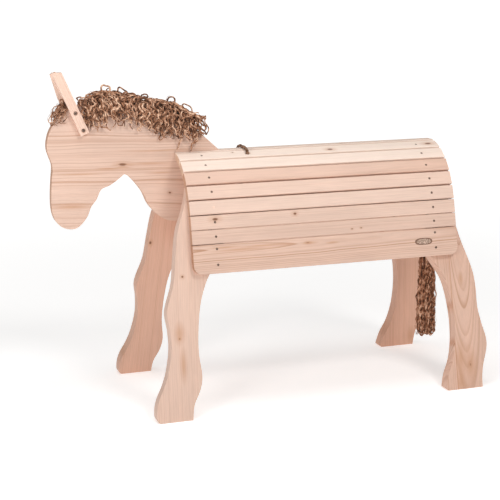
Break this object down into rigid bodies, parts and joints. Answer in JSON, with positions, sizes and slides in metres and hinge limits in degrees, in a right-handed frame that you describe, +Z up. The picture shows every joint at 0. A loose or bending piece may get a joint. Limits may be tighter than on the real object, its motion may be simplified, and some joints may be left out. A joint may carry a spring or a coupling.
{
  "type": "wooden play horse",
  "caption": "Standing wooden play horse with a slatted barrel body, sawn splayed legs, flat head board, rope mane, rope grip and hanging rope tail.",
  "frame": {"origin": "on the floor, under the middle of the overall length and width", "axes": "+X towards the head, +Y towards the horse's left side, +Z up"},
  "size_m": [1.2435, 0.5274, 0.9449],
  "materials": {
    "pine_board": "planed, thin clear oil",
    "pine_slat": "planed, thin clear oil",
    "screw_steel": "dull zinc",
    "rope": "rough, frayed"
  },
  "bodies": {
    "horse": {"head_board": "pine_board", "ear_left": "pine_board", "ear_right": "pine_board", "ear_screws": "screw_steel", "front_bulkhead": "pine_board", "rear_bulkhead": "pine_board", "front_leg_left": "pine_board", "front_leg_right": "pine_board", "rear_leg_left": "pine_board", "rear_leg_right": "pine_board", "side_board_left": "pine_board", "side_board_right": "pine_board", "ridge_slat": "pine_slat", "slat_left_1": "pine_slat", "slat_left_2": "pine_slat", "slat_left_3": "pine_slat", "slat_left_4": "pine_slat", "slat_left_5": "pine_slat", "slat_left_6": "pine_slat", "slat_left_7": "pine_slat", "slat_right_1": "pine_slat", "slat_right_2": "pine_slat", "slat_right_3": "pine_slat", "slat_right_4": "pine_slat", "slat_right_5": "pine_slat", "slat_right_6": "pine_slat", "slat_right_7": "pine_slat", "slat_screws_front": "screw_steel", "slat_screws_rear": "screw_steel", "side_board_screws": "screw_steel", "leg_screws": "screw_steel", "grip_rope": "rope", "mane": "rope"},
    "tail_loop": {"tail_cord": "rope"},
    "tail": {"tail_hank": "rope"}
  },
  "joints": [
    {"name": "tail_sway", "type": "hinge", "parent": "horse", "child": "tail_loop", "pos_m": [-0.536, 0, 0.52941], "axis": [1, 0, 0], "range_deg": [-18, 18]},
    {"name": "tail_lift", "type": "hinge", "parent": "tail_loop", "child": "tail", "pos_m": [-0.536, 0, 0.51141], "axis": [0, 1, 0], "range_deg": [-5, 45]}
  ]
}
